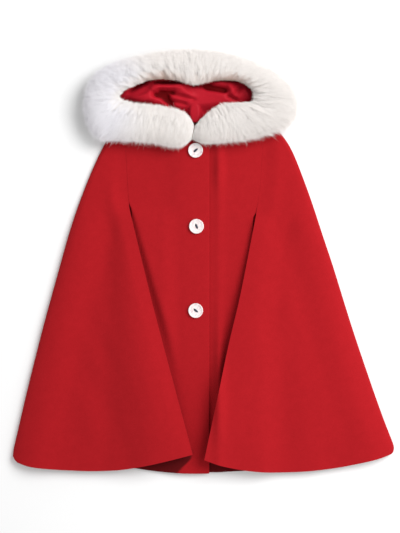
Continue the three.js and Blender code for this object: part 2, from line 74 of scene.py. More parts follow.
# How much painted shade the back panel's inner face gets, in rows of Y and share: less where the slits let
# the light in
BACK_PAINTED_SHADE = [(60, 1), (150, 0.25)]
RIM_ROUNDING = 0.9 * MM
RIM_ANGLE = math.radians(50)
JOIN_DISTANCE = 0.02 * MM
QUAD_ANGLE = math.radians(60)
PANEL_LEVELS = 2

# How far each side panel swells above its plain cut: rises in millimetres at distances from its front edge,
# in rows from the shoulder to the hem. The cloth stands up beside the slit and falls away outwards.
SWELL_FROM_EDGE = (0, 10, 20, 35, 50, 70, 90, 115, 150, 190)
RIGHT_SWELLS = [
    {"y": 500, "rise": (0, 0, 0, 0, 0, 0, 0, 0, 0, 0)},
    {"y": 426, "rise": (0, 0, 0, 0, 0, 0, 0, 0, 0, 0)},
    {"y": 384, "rise": (0, 2, 3, 0.8, 0, 0, 0, 0, 0, 0)},
    {"y": 342, "rise": (2.2, 2.8, 3.4, 0.6, 0, 0, 0, 0, 0, 0)},
    {"y": 300, "rise": (2.6, 3.6, 4.4, 2.6, 0.6, 0, 0, 0, 0, 0)},
    {"y": 243, "rise": (2.6, 4.2, 5.6, 4.4, 3.2, 1.4, 0, 0, 0, 0)},
    {"y": 188, "rise": (4.4, 6.4, 8.2, 7.8, 6.2, 4.6, 0.6, 0, 0, 0)},
    {"y": 132, "rise": (5, 7.2, 9.2, 9.6, 8, 6, 4.2, 0, 0, 0)},
    {"y": 76, "rise": (3, 5.6, 7.8, 9.2, 8.4, 6.2, 4.6, 3, 0, 0)},
    {"y": 20, "rise": (1.6, 3.8, 5.8, 8, 8.4, 6.6, 4.4, 4.8, 0, 0)},
]
LEFT_SWELLS = [
    {"y": 500, "rise": (0, 0, 0, 0, 0, 0, 0, 0, 0, 0)},
    {"y": 426, "rise": (1.2, 1.2, 0.8, 0, 0, 0, 0, 0, 0, 0)},
    {"y": 384, "rise": (1.6, 1.6, 1.4, 0, 0.4, 0.6, 0, 0, 0, 0)},
    {"y": 342, "rise": (2.4, 2.8, 3, 2, 0, 1.2, 1.4, 0, 0, 0)},
    {"y": 300, "rise": (2.8, 3, 3.2, 3.4, 2.4, 0.6, 0.4, 1.2, 0, 0)},
    {"y": 243, "rise": (4, 4, 3.8, 3.2, 3.4, 3.8, 2, 0.4, 0, 0)},
    {"y": 188, "rise": (6, 6, 5.6, 4.2, 3, 4, 3, 1.6, 0.5, 0)},
    {"y": 132, "rise": (8, 8, 7.4, 6, 4, 4, 4.2, 3.4, 1.6, 0)},
    {"y": 76, "rise": (8.6, 8.6, 8, 6.6, 5, 3.8, 4.4, 4, 2.6, 0.6)},
    {"y": 20, "rise": (6, 6, 6, 5.6, 4.8, 3.6, 4, 4.6, 2.8, 0.8)},
]
# Each side panel as it lies, in millimetres on the drawing, as rows of Y and X from the hem up: its free
# edge at the arm slit, the seam above that, and its outer edge, beside which the cloth rolls down
SIDES = {
    "right": {
        "sign": -1,
        "slit": [(30.3, -1.3), (188.3, -44), (243.9, -58.6), (376.3, -91)],
        "seam": [(376.3, -91), (435, -94.5), (497, -97)],
        "silhouette": [
            (25, -253.8),
            (114, -234),
            (204, -211.4),
            (293, -187),
            (383, -159.2),
            (450, -131),
            (493, -104),
        ],
        "swells": RIGHT_SWELLS,
        "roll": 6,
    },
    "left": {
        "sign": 1,
        "slit": [(23.4, 13.9), (188.3, 49.1), (243.9, 62.6), (364.2, 86.6)],
        "seam": [(364.2, 86.6), (410, 93.2), (497, 97)],
        "silhouette": [
            (36, 280.8),
            (69, 268.2),
            (114, 252),
            (204, 221.5),
            (293, 193.8),
            (383, 164),
            (450, 138.6),
            (493, 104),
        ],
        "swells": LEFT_SWELLS,
        "roll": 5,
    },
}
# The cloth rolls up from its outer edge over a width and sinks again over the fade. Near the shoulder, from
# one Y on and over a stretch of Y, the roll grows flatter by a share.
OUTER_ROLL_WIDTH = 22
OUTER_ROLL_FADE = 45
SHOULDER_FROM = 330
SHOULDER_BLEND = 80
SHOULDER_FLATTENING = 0.8
# Above the slit the seam holds the side panel level with the front, up to this far from it
SEWN_REACH = 26
SEWN_BLEND = 30
SEAM_CLOSING = 0.33 * MM
SEAM_REACH = 2.2 * MM
SEAM_BLEND = 6 * MM
PLAIN_UNDERSIDE = 3.2 * MM
WOOL_THICKNESS = 2.4 * MM
# How far a sewn rim is squared, and at which share of the thickness that is reached
SEAM_SQUARING = 0.75
SQUARED_BY = 0.6

# The right front lies level with its lap, but dips towards the slit: how far inside the slit's edge the dip
# begins and how wide it is, in millimetres, in rows from the slit's top down
LAP_RISE = 3.2 * MM
LAP_RAMP_FROM = -46
LAP_RAMP = 28
SLIT_DIPS = [
    {"y": 377, "from": 0, "width": 4, "rise": 0},
    {"y": 355, "from": 0, "width": 5, "rise": 1.1},
    {"y": 300, "from": 0, "width": 8, "rise": 1.6},
    {"y": 240, "from": 0, "width": 12, "rise": 1.9},
    {"y": 180, "from": 1, "width": 16, "rise": 2.1},
    {"y": 100, "from": 3, "width": 17, "rise": 2.4},
    {"y": 40, "from": 1, "width": 18, "rise": 1.1},
    {"y": 0, "from": 0, "width": 18, "rise": 0},
]
# The left front rolls up a little beside the closing edge that lies on it, in rows of Y and height
CLOSING_X = 21.4
CLOSING_CUTS = (25, 29, 33, 37, 41)
ROLL_FROM_EDGE = 13.5
ROLL_WIDTH = 7
CLOSING_ROLL = [
    (40, 2),
    (80, 5.5),
    (132, 6.2),
    (188, 3.6),
    (243, 1.5),
    (300, 1.2),
    (342, 1.2),
    (384, 2),
    (426, 4.8),
    (450, 3.6),
]
# All the wool is a little uneven
UNEVEN_RISE = 0.5 * MM
UNEVEN_SPAN = 46 * MM
# Below this height a side panel's rim is turned down to the back panel and stays there
TURNED_DOWN_HEIGHT = 3.2 * MM

# Rumples of the lining in the hood's mouth: a fold from one end to the other, with its own width on each
# flank, in millimetres on the drawing. A pocket is a fold that sinks instead of rising.
RUMPLES = [
    {"ends": ((-100, 528), (-92, 537)), "widths": (5, 6), "rise": 4},
    {"ends": ((-88, 537), (-70, 547)), "widths": (4, 4), "rise": -8},
    {"ends": ((-82, 523), (-62, 523)), "widths": (6, 4), "rise": 5},
    {"ends": ((-70, 523), (-54, 538)), "widths": (5, 4), "rise": 4},
    {"ends": ((-54, 539), (-20, 541)), "widths": (4, 4), "rise": 4},
    {"ends": ((-20, 540), (-6, 528)), "widths": (5, 6), "rise": 3},
    {"ends": ((-52, 547), (-22, 548)), "widths": (3.5, 3.5), "rise": -8},
    {"ends": ((-52, 529), (-40, 527)), "widths": (4, 3.5), "rise": -11},
    {"ends": ((-40, 527), (-33, 516)), "widths": (4, 4), "rise": -8},
    {"ends": ((-46, 534), (-31, 533)), "widths": (3.5, 3), "rise": -7},
    {"ends": ((-30, 531), (-2, 523)), "widths": (3, 3), "rise": -4},
    {"ends": ((-40, 522), (-14, 517)), "widths": (3, 3), "rise": -4},
    {"ends": ((0, 544), (14, 543)), "widths": (4, 4), "rise": -6},
    {"ends": ((30, 549), (52, 547)), "widths": (4, 4), "rise": 4},
    {"ends": ((20, 540), (41, 536)), "widths": (4, 4), "rise": -12},
    {"ends": ((22, 545), (30, 549)), "widths": (3, 3), "rise": -4},
    {"ends": ((65, 541), (59, 532)), "widths": (4, 4), "rise": -4},
    {"ends": ((50, 541), (56, 531)), "widths": (4, 4), "rise": 3},
    {"ends": ((72, 536), (76, 528)), "widths": (4, 4), "rise": 3},
    {"ends": ((49, 527), (57, 523)), "widths": (3, 3), "rise": -5},
]
# The lining swells up in an ellipse that fills the mouth and in a small one at the neck. The swell ends
# where an ellipse is this many times as large, and fades in over a stretch inside that.
MOUTH_CENTRE = (-9, 532)
MOUTH_HALF = (96, 22)
NECK_CENTRE = (1, 504)
NECK_HALF = (9, 20)
MOUTH_ENDS = 1.25
MOUTH_FADE = 0.6
MOUTH_SWELL = 8
MOUTH_HIGHEST = 13
# How many of its widths a rumple runs on past its ends
RUMPLE_END = 1.5
# Below this share of the swell the lining sinks between its folds and gets painted shade
FOLD_SHADE_BELOW = 0.75
LINING_FLOOR_TOP = 9.2 * MM


# Small helpers


def on_drawing(x_mm, y_mm):
    """The frame's X and Y of a point given in millimetres on the drawing."""
    return DRAWING_X + x_mm * MM, DRAWING_Y + y_mm * MM


def smooth_step(t):
    t = np.clip(t, 0, 1)
    return t * t * (3 - 2 * t)


def eased_curve(t, start, start_slope, end, end_slope):
    """A smooth curve from start to end, with its slopes there, at t from 0 to 1."""
    return (
        (2 * t**3 - 3 * t**2 + 1) * start
        + (t**3 - 2 * t**2 + t) * start_slope
        + (3 * t**2 - 2 * t**3) * end
        + (t**3 - t**2) * end_slope
    )


def soft_noise(x, y, span, seed):
    """Smooth unevenness from -1 to 1, with hills and dips about one span apart."""
    cells = 64
    table = np.random.default_rng(seed).uniform(-1, 1, (cells, cells))
    gx, gy = x / span + cells / 2, y / span + cells / 2
    ix, iy = np.floor(gx).astype(int), np.floor(gy).astype(int)
    tx, ty = smooth_step(gx - ix), smooth_step(gy - iy)

    def corner(i, j):
        return table[(ix + i) % cells, (iy + j) % cells]

    low = corner(0, 0) * (1 - tx) + corner(1, 0) * tx
    high = corner(0, 1) * (1 - tx) + corner(1, 1) * tx
    return low * (1 - ty) + high * ty


def add_object(name, data):
    obj = bpy.data.objects.new(name, data)
    bpy.context.scene.collection.objects.link(obj)
    return obj


def mark(mesh, name, values):
    """Gives each point of a mesh a value under a name, which its material reads."""
    mesh.attributes.new(name, "FLOAT", "POINT").data.foreach_set("value", values)


def select_only(obj):
    bpy.ops.object.select_all(action="DESELECT")
    obj.select_set(True)
    bpy.context.view_layer.objects.active = obj


def points_of(obj):
    flat = np.empty(len(obj.data.vertices) * 3)
    obj.data.vertices.foreach_get("co", flat)
    return flat.reshape(-1, 3)


def set_points(obj, points):
    obj.data.vertices.foreach_set("co", points.ravel())
    obj.data.update()


def apply_modifiers(obj):
    select_only(obj)
    for modifier in list(obj.modifiers):
        bpy.ops.object.modifier_apply(modifier=modifier.name)


def finish_piece(obj, material, slot, *nodes):
    """Gives a piece its material, hides the CAD nodes that it stands for and hangs it on the root; slot is
    not used.
    """
    obj.data.materials.clear()
    obj.data.materials.append(material)
    if nodes:
        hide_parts(*nodes)
    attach(obj, "root")
    return obj


# Materials

FIBRE_SOCKETS = [
    ("Place", "INPUT", "Vector"),
    ("Fibres per metre", "INPUT", "Float"),
    ("Shade", "OUTPUT", "Float"),
    ("Height", "OUTPUT", "Float"),
]
FIBRES_PER_METRE = 900
# Broader patches in the felt, for each fibre, and their share of its shade
PATCHES_PER_FIBRE = 0.12
PATCH_SHARE = 0.2


def set_inputs(node, values):
    for name, value in values.items():
        node.inputs[name].default_value = value


def new_material(name, looks):
    """A material with its shader's looks set: itself, its nodes, its links and the shader."""
    material = bpy.data.materials.new(name)
    material.use_nodes = True
    nodes = material.node_tree.nodes
    shader = nodes["Principled BSDF"]
    set_inputs(shader, looks)
    return material, nodes, material.node_tree.links, shader


def add_node(nodes, kind, **settings):
    node = nodes.new(kind)
    for name, value in settings.items():
        setattr(node, name, value)
    return node


def add_bump(nodes, links, height, shader, strength, depth):
    """Bumps on a shader from a height socket."""
    bump = nodes.new("ShaderNodeBump")
    set_inputs(bump, {"Strength": strength, "Distance": depth})
    links.new(height, bump.inputs["Height"])
    links.new(bump.outputs["Normal"], shader.inputs["Normal"])


def fibre_group():
    """Short matted fibres: a shade and a height, from the coordinates and a fibre size."""
    group = bpy.data.node_groups.new("matted_fibres", "ShaderNodeTree")
    for name, way, kind in FIBRE_SOCKETS:
        group.interface.new_socket(name, in_out=way, socket_type=f"NodeSocket{kind}")
    nodes, links = group.nodes, group.links
    given = nodes.new("NodeGroupInput")
    result = nodes.new("NodeGroupOutput")
    fine = add_node(nodes, "ShaderNodeTexNoise")
    set_inputs(fine, {"Detail": 4, "Roughness": 0.65, "Distortion": 1.4})
    links.new(given.outputs["Place"], fine.inputs["Vector"])
    links.new(given.outputs["Fibres per metre"], fine.inputs["Scale"])
    patches = add_node(nodes, "ShaderNodeMath", operation="MULTIPLY")
    patches.inputs[1].default_value = PATCHES_PER_FIBRE
    links.new(given.outputs["Fibres per metre"], patches.inputs[0])
    broad = add_node(nodes, "ShaderNodeTexNoise")
    set_inputs(broad, {"Detail": 3})
    links.new(given.outputs["Place"], broad.inputs["Vector"])
    links.new(patches.outputs[0], broad.inputs["Scale"])
    shade = add_node(nodes, "ShaderNodeMix", data_type="FLOAT")
    set_inputs(shade, {"Factor": PATCH_SHARE})
    links.new(fine.outputs["Fac"], shade.inputs["A"])
    links.new(broad.outputs["Fac"], shade.inputs["B"])
    links.new(shade.outputs["Result"], result.inputs["Shade"])
    links.new(fine.outputs["Fac"], result.inputs["Height"])
    return group


def ramp(nodes, stops):
    node = nodes.new("ShaderNodeValToRGB")
    elements = node.color_ramp.elements
    while len(elements) < len(stops):
        elements.new(0.5)
    for element, (place, colour) in zip(elements, stops):
        element.position = place
        element.color = (*colour, 1)
    return node


def multiplied(nodes, links, first, second):
    """The colour socket of two colour sockets multiplied."""
    both = add_node(nodes, "ShaderNodeMix", data_type="RGBA", blend_type="MULTIPLY")
    set_inputs(both, {"Factor": 1})
    links.new(first, both.inputs["A"])
    links.new(second, both.inputs["B"])
    return both.outputs["Result"]


def ramp_of(nodes, links, value, stops):
    """The colour socket of a ramp driven by a value socket."""
    colour = ramp(nodes, stops)
    links.new(value, colour.inputs["Fac"])
    return colour.outputs["Color"]


def attribute(nodes, name):
    """The value socket of a mesh attribute."""
    return add_node(nodes, "ShaderNodeAttribute", attribute_name=name).outputs["Fac"]


def wool_material(fibres):
    """Red felt, with painted shade where an attribute tells: on the back panel's inner face and the fronts'
    hems.
    """
    looks = {
        "Roughness": 0.95,
        "Specular IOR Level": 0.12,
        "Sheen Weight": 0.06,
        "Sheen Roughness": 0.6,
        "Sheen Tint": (0.9, 0.12, 0.14, 1),
    }
    material, nodes, links, shader = new_material("red_felted_wool", looks)
    place = nodes.new("ShaderNodeTexCoord")
    felt = add_node(nodes, "ShaderNodeGroup", node_tree=fibres)
    set_inputs(felt, {"Fibres per metre": FIBRES_PER_METRE})
    links.new(place.outputs["Object"], felt.inputs["Place"])
    reds = [(0.3, (0.273, 0.0047, 0.0076)), (0.5, (0.315, 0.0058, 0.0095)), (0.72, (0.357, 0.0078, 0.0121))]
    colour = ramp_of(nodes, links, felt.outputs["Shade"], reds)
    # Painted shade: the felt is darker as far as its attribute tells
    inner = [(0.0, (1, 1, 1)), (1.0, PAINTED_SHADE_FACTOR)]
    face = ramp_of(nodes, links, attribute(nodes, "painted_shade"), inner)
    links.new(multiplied(nodes, links, colour, face), shader.inputs["Base Color"])
    add_bump(nodes, links, felt.outputs["Height"], shader, 0.35, 0.25 * MM)
    return material


def satin_material():
    """Crimson satin weave, with painted shade where the lining sinks between its folds, as an attribute
    tells.
    """
    looks = {"Roughness": 0.45, "Specular IOR Level": 0.1, "Specular Tint": (1, 0.45, 0.5, 1)}
    material, nodes, links, shader = new_material("crimson_satin", looks)
    place = nodes.new("ShaderNodeTexCoord")
    weave = add_node(nodes, "ShaderNodeTexWave", wave_type="BANDS", bands_direction="DIAGONAL")
    set_inputs(weave, {"Scale": 700, "Distortion": 1.5, "Detail": 1})
    links.new(place.outputs["Object"], weave.inputs["Vector"])
    crimsons = [(0.0, (0.32, 0.006, 0.014)), (1.0, (0.41, 0.011, 0.022))]
    colour = ramp_of(nodes, links, weave.outputs["Fac"], crimsons)
    # Painted shade in the hollows between the lining's folds
    painted_fold_shade = ramp_of(nodes, links, attribute(nodes, "painted_fold_shade"), [(0.1, (1, 1, 1)), (1.0, (0.3, 0.1, 0.1))])
    links.new(multiplied(nodes, links, colour, painted_fold_shade), shader.inputs["Base Color"])
    add_bump(nodes, links, weave.outputs["Fac"], shader, 0.12, 0.1 * MM)
    return material


def fur_material(name, root_colour, tip_colour):
    """White pile: greyer at the root, a little warmer or cooler from lock to lock, and with painted light
    and shade.
    """
    looks = {"Roughness": 0.75, "Specular IOR Level": 0.25}
    material, nodes, links, shader = new_material(name, looks)
    root_to_tip = ramp_of(nodes, links, attribute(nodes, "along"), [(0.0, root_colour), (0.75, tip_colour)])
    # The tone varies at random and carries painted light: whiter where the key light falls less
    shade = ramp_of(nodes, links, attribute(nodes, "tone"), [(0.0, (0.82, 0.815, 0.81)), (1.0, (1, 1, 1))])
    # The warmth carries painted brownish shade at the mouth's edge and a painted cool cast at the right
    # cheek
    whites = [(0.0, (0.955, 0.95, 1)), (NEUTRAL_WARMTH, (1, 0.975, 0.955)), (1.0, (0.7, 0.5, 0.42))]
    tint = ramp_of(nodes, links, attribute(nodes, "tint_and_painted_light"), whites)
    shaded = multiplied(nodes, links, root_to_tip, shade)
    links.new(multiplied(nodes, links, shaded, tint), shader.inputs["Base Color"])
    return material


def shell_material():
    """Polished shell: cloudy white with faint pink and grey swirls under a gloss."""
    looks = {"Roughness": 0.22, "Coat Weight": 0.5, "Coat Roughness": 0.08}
    material, nodes, links, shader = new_material("pearly_shell", looks)
    place = nodes.new("ShaderNodeTexCoord")
    swirl = nodes.new("ShaderNodeTexNoise")
    set_inputs(swirl, {"Scale": 130, "Detail": 3, "Distortion": 2.5})
    links.new(place.outputs["Object"], swirl.inputs["Vector"])
    clouds = [
        (0.3, (0.5, 0.42, 0.44)),
        (0.42, (0.7, 0.58, 0.58)),
        (0.58, (0.78, 0.74, 0.72)),
        (0.75, (0.64, 0.6, 0.64)),
    ]
    links.new(ramp_of(nodes, links, swirl.outputs["Fac"], clouds), shader.inputs["Base Color"])
    return material


def thread_material():
    """Dark sewing thread with a faint twist."""
    material, nodes, links, shader = new_material("dark_thread", {"Roughness": 0.8})
    place = nodes.new("ShaderNodeTexCoord")
    twist = add_node(nodes, "ShaderNodeTexWave", wave_type="BANDS", bands_direction="DIAGONAL")
    set_inputs(twist, {"Scale": 1500})
    links.new(place.outputs["Object"], twist.inputs["Vector"])
    navies = [(0.0, (0.018, 0.02, 0.035)), (1.0, (0.06, 0.065, 0.1))]
    links.new(ramp_of(nodes, links, twist.outputs["Fac"], navies), shader.inputs["Base Color"])
    return material


# Cloth


def fine_copy(node, name, rounding, levels, cuts=()):
    """A fine copy of a CAD cloth wall: joined, in quads, with its rims rounded and cut at some X."""
    obj = add_object(name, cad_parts[node].data.copy())
    select_only(obj)
    bpy.ops.object.mode_set(mode="EDIT")
    bpy.ops.mesh.select_all(action="SELECT")
    bpy.ops.mesh.remove_doubles(threshold=JOIN_DISTANCE)
    bpy.ops.mesh.tris_convert_to_quads(face_threshold=QUAD_ANGLE, shape_threshold=QUAD_ANGLE)
    for cut_mm in cuts:
        bpy.ops.mesh.select_all(action="SELECT")
        bpy.ops.mesh.bisect(plane_co=(DRAWING_X + cut_mm * MM, 0, 0), plane_no=(1, 0, 0))
    bpy.ops.object.mode_set(mode="OBJECT")
    if rounding:
        bevel = obj.modifiers.new("rounded_rims", "BEVEL")
        bevel.width = rounding
        bevel.segments = 2
        bevel.limit_method = "ANGLE"
        bevel.angle_limit = RIM_ANGLE
    fine = obj.modifiers.new("fine_grid", "SUBSURF")
    fine.levels = fine.render_levels = levels
    apply_modifiers(obj)
    obj.data.shade_smooth()
    return obj


def column_of(rows, name, y):
    """A named value of a table, at the frame's Y."""
    ordered = sorted(rows, key=lambda row: row["y"])
    return np.interp((y - DRAWING_Y) / MM, [row["y"] for row in ordered], [row[name] for row in ordered])


def through(rows, at):
    """Values on the smooth curve through a table's rows of place and value, level past its ends."""
    places, values = np.array(rows, float).T
    last = len(places) - 1
    at = np.clip(at, places[0], places[-1])
    i = np.clip(np.searchsorted(places, at, side="right") - 1, 0, last - 1)
    before, after = np.maximum(i - 1, 0), np.minimum(i + 2, last)
    span = places[i + 1] - places[i]
    start_slope = (values[i + 1] - values[before]) / (places[i + 1] - places[before])
    end_slope = (values[after] - values[i]) / (places[after] - places[i])
    t = (at - places[i]) / span
    return eased_curve(t, values[i], span * start_slope, values[i + 1], span * end_slope)


def edge_x(y, side):
    """The frame's X of a side panel's front edge at the frame's Y: its slit, and its seam above that."""
    y_mm = (y - DRAWING_Y) / MM
    slit, seam = through(side["slit"], y_mm), through(side["seam"], y_mm)
    return DRAWING_X + MM * np.where(y_mm < side["seam"][0][0], slit, seam)


def front_relief(x, y):
    """The height that the fronts gain: the right one's dip to its slit and the left one's closing roll."""
    uneven = UNEVEN_RISE * 0.5 * (1 + soft_noise(x, y, UNEVEN_SPAN, 3))
    x_mm = (x - DRAWING_X) / MM
    inside = (x - edge_x(y, SIDES["right"])) / MM
    before_lap = 1 - smooth_step((x_mm - LAP_RAMP_FROM) / LAP_RAMP)
    past_dip = smooth_step((inside - column_of(SLIT_DIPS, "from", y)) / column_of(SLIT_DIPS, "width", y))
    level = LAP_RISE * before_lap * past_dip * column_of(SLIT_DIPS, "rise", y)
    roll = np.exp(-(((x_mm - CLOSING_X - ROLL_FROM_EDGE) / ROLL_WIDTH) ** 2))
    roll *= through(CLOSING_ROLL, (y - DRAWING_Y) / MM) * MM
    return level + roll + uneven


def swells(x, y, side):
    """The height that a table of swells adds, eased between its rows and its columns."""
    rows = side["swells"]
    from_edge = np.clip(side["sign"] * (x - edge_x(y, side)) / MM, 0, SWELL_FROM_EDGE[-1])
    column = curve_share(from_edge, SWELL_FROM_EDGE)
    y_mm = np.clip((y - DRAWING_Y) / MM, rows[-1]["y"], rows[0]["y"])
    row = curve_share(y_mm, [r["y"] for r in rows])
    table = np.array([r["rise"] for r in rows], float)
    height = np.zeros_like(x)
    for i, row_weight in eased_weights(row, len(table)):
        for k, column_weight in eased_weights(column, table.shape[1]):
            height += row_weight * column_weight * table[i, k]
    return height * MM


def curve_share(values, stops):
    """Where values lie among stops, counted in stops."""
    stops = np.array(stops, float)
    order = np.argsort(stops)
    return np.interp(values, stops[order], np.arange(len(stops))[order])


def eased_weights(share, count):
    """The clipped number and the weight of each place round a share, on a smooth curve through all."""
    start = np.clip(np.floor(share).astype(int), 0, count - 2)
    t = share - start
    weights = (
        (-0.5 * t + t**2 - 0.5 * t**3),
        (1 - 2.5 * t**2 + 1.5 * t**3),
        (0.5 * t + 2 * t**2 - 1.5 * t**3),
        (-0.5 * t**2 + 0.5 * t**3),
    )
    return [(np.clip(start + k - 1, 0, count - 1), weight) for k, weight in enumerate(weights)]


def outer_roll(x, y, side):
    """The height that the cloth gains where it rolls up from its outer edge."""
    silhouette = through(side["silhouette"], (y - DRAWING_Y) / MM)
    inside = side["sign"] * (silhouette - (x - DRAWING_X) / MM)
    share = 1 - np.clip(inside / OUTER_ROLL_WIDTH, 0, 1)
    fade = 1 - smooth_step((inside - OUTER_ROLL_WIDTH) / OUTER_ROLL_FADE)
    lower = 1 - SHOULDER_FLATTENING * smooth_step(((y - DRAWING_Y) / MM - SHOULDER_FROM) / SHOULDER_BLEND)
    return side["roll"] * MM * np.sqrt(1 - share**2) * fade * lower


def side_relief(x, y, side):
    """The height that a side panel gains, over what the front beside it gains."""
    uneven = UNEVEN_RISE * (1 + soft_noise(x, y, UNEVEN_SPAN, 7))
    sewn = smooth_step(((y - DRAWING_Y) / MM - side["seam"][0][0]) / SEWN_BLEND + 0.5)
    held = sewn * (1 - smooth_step(side["sign"] * (x - edge_x(y, side)) / MM / SEWN_REACH))
    return front_relief(x, y) + (1 - held) * (swells(x, y, side) + outer_roll(x, y, side) + uneven)


def close_seam(points, side, closing):
    """Pushes a panel's sewn edge to its neighbour and squares its rim, so that the seam is a faint line."""
    x, y = points[:, 0], points[:, 1]
    near = 1 - np.clip(np.abs(x - edge_x(y, side)) / SEAM_REACH, 0, 1)
    near *= smooth_step((y - DRAWING_Y - side["seam"][0][0] * MM) / SEAM_BLEND + 0.5)
    points[:, 0] -= side["sign"] * closing * near
    depth = np.clip((points[:, 2] - PLAIN_UNDERSIDE) / WOOL_THICKNESS, 0, 1)
    squared = SEAM_SQUARING * WOOL_THICKNESS * (1 - depth)
    points[:, 2] += squared * smooth_step(depth / SQUARED_BY) * smooth_step(2 * near)


def painted_hem_shade_share(points, side_name):
    """How much painted shade each point of a front gets in the dark patch of its hem, from 0 to 1."""
    x_mm, y_mm = (points[:, 0] - DRAWING_X) / MM, (points[:, 1] - DRAWING_Y) / MM
    ys, xs = np.array(PAINTED_HEM_SHADE_EDGES[side_name]).T
    outside = SIDES[side_name]["sign"] * (x_mm - np.interp(y_mm, ys, xs))
    return smooth_step(outside / PAINTED_HEM_SHADE_BLEND + 0.5) * (y_mm < PAINTED_HEM_SHADE_TOP)


def wool_panels(wool):
    back = fine_copy("back_panel", "back_panel_cloth", RIM_ROUNDING, 1)
    # Painted shade on the back panel's inner face, full at the hem and less higher up
    back_y_mm = (points_of(back)[:, 1] - DRAWING_Y) / MM
    mark(back.data, "painted_shade", np.interp(back_y_mm, *np.array(BACK_PAINTED_SHADE).T))
    finish_piece(back, wool, "wool", "back_panel")
    fronts = [
        ("right_front", (0.12, 0.5), 0.056, ["left_front_cloth", "back_panel_cloth"], "right"),
        ("left_front", (0.113, 0.5), 0.051, ["back_panel_cloth"], "left"),
    ]
    for node, flat, area, rests_on, side_name in fronts:
        front = fine_copy(node, f"{node}_cloth", RIM_ROUNDING, PANEL_LEVELS, CLOSING_CUTS)
        points = points_of(front)
        close_seam(points, SIDES[side_name], 0)
        points[:, 2] += front_relief(points[:, 0], points[:, 1])
        set_points(front, points)
        finish_piece(front, wool, "wool", node)
        # Painted shade on the front's hem patch under the side panel's lifted corner
        mark(front.data, "painted_shade", painted_hem_shade_share(points, side_name))
    sides = [
        ("right_side_panel", (0.26, 0.5), 0.07, "right_front_cloth", "right"),
        ("left_side_panel", (0.27, 0.5), 0.073, "left_front_cloth", "left"),
    ]
    for node, flat, area, front_name, side_name in sides:
        panel = fine_copy(node, f"{node}_cloth", RIM_ROUNDING, PANEL_LEVELS)
        points = points_of(panel)
        close_seam(points, SIDES[side_name], SEAM_CLOSING)
        rise = side_relief(points[:, 0], points[:, 1], SIDES[side_name])
        points[:, 2] += rise * smooth_step(points[:, 2] / TURNED_DOWN_HEIGHT)
        set_points(panel, points)
        finish_piece(panel, wool, "wool", node)


def rumples(x, y):
    """The height that the lining's rumples add in the hood's mouth, and its painted shade between the
    folds, from 0 to 1.
    """
    x_mm, y_mm = (x - DRAWING_X) / MM, (y - DRAWING_Y) / MM
    outside = np.hypot((x_mm - MOUTH_CENTRE[0]) / MOUTH_HALF[0], (y_mm - MOUTH_CENTRE[1]) / MOUTH_HALF[1])
    outside_neck = np.hypot((x_mm - NECK_CENTRE[0]) / NECK_HALF[0], (y_mm - NECK_CENTRE[1]) / NECK_HALF[1])
    inside = smooth_step((MOUTH_ENDS - np.minimum(outside, outside_neck)) / MOUTH_FADE)
    height = np.full_like(x, MOUTH_SWELL)
    for row in RUMPLES:
        (ax, ay), (bx, by) = row["ends"]
        length = math.hypot(bx - ax, by - ay)
        ux, uy = (bx - ax) / length, (by - ay) / length
        along = (x_mm - ax) * ux + (y_mm - ay) * uy
        across = (y_mm - ay) * ux - (x_mm - ax) * uy
        beyond = np.maximum(np.maximum(-along, along - length), 0)
        width = np.where(across > 0, *row["widths"])
        height += row["rise"] * np.exp(-((across / width) ** 2) - (beyond / (RUMPLE_END * width)) ** 2)
    painted_fold_shade = 1 - np.clip(height / (FOLD_SHADE_BELOW * MOUTH_SWELL), 0, 1)
    return np.clip(height, 0, MOUTH_HIGHEST) * inside * MM, painted_fold_shade


def hood(wool, satin):
    for side_name in ("right", "left"):
        node = f"hood_shell_{side_name}"
        shell = fine_copy(node, f"{node}_cloth", RIM_ROUNDING, 1)
        finish_piece(shell, wool, "wool", node)
    lining = fine_copy("hood_lining", "hood_lining_satin", 0, 3)
    points = points_of(lining)
    height, painted_fold_shade = rumples(points[:, 0], points[:, 1])
    points[:, 2] += height * (points[:, 2] < LINING_FLOOR_TOP)
    set_points(lining, points)
    # The lining's painted shade between its folds
    mark(lining.data, "painted_fold_shade", painted_fold_shade)
    finish_piece(lining, satin, "satin", "hood_lining")


# Fur

ON_CAPE = 9.6
ON_RIM = 14.3
ABOVE_FLOOR = 3.5
ABOVE_LINING = 9.5
FUR_UNDERSIDE = {
    "cape": (ON_CAPE, ON_CAPE),
    "shoulder": (ON_CAPE, ON_RIM),
    "rim": (ABOVE_FLOOR, ON_RIM),
    "hood": (ABOVE_FLOOR, ABOVE_LINING),
}

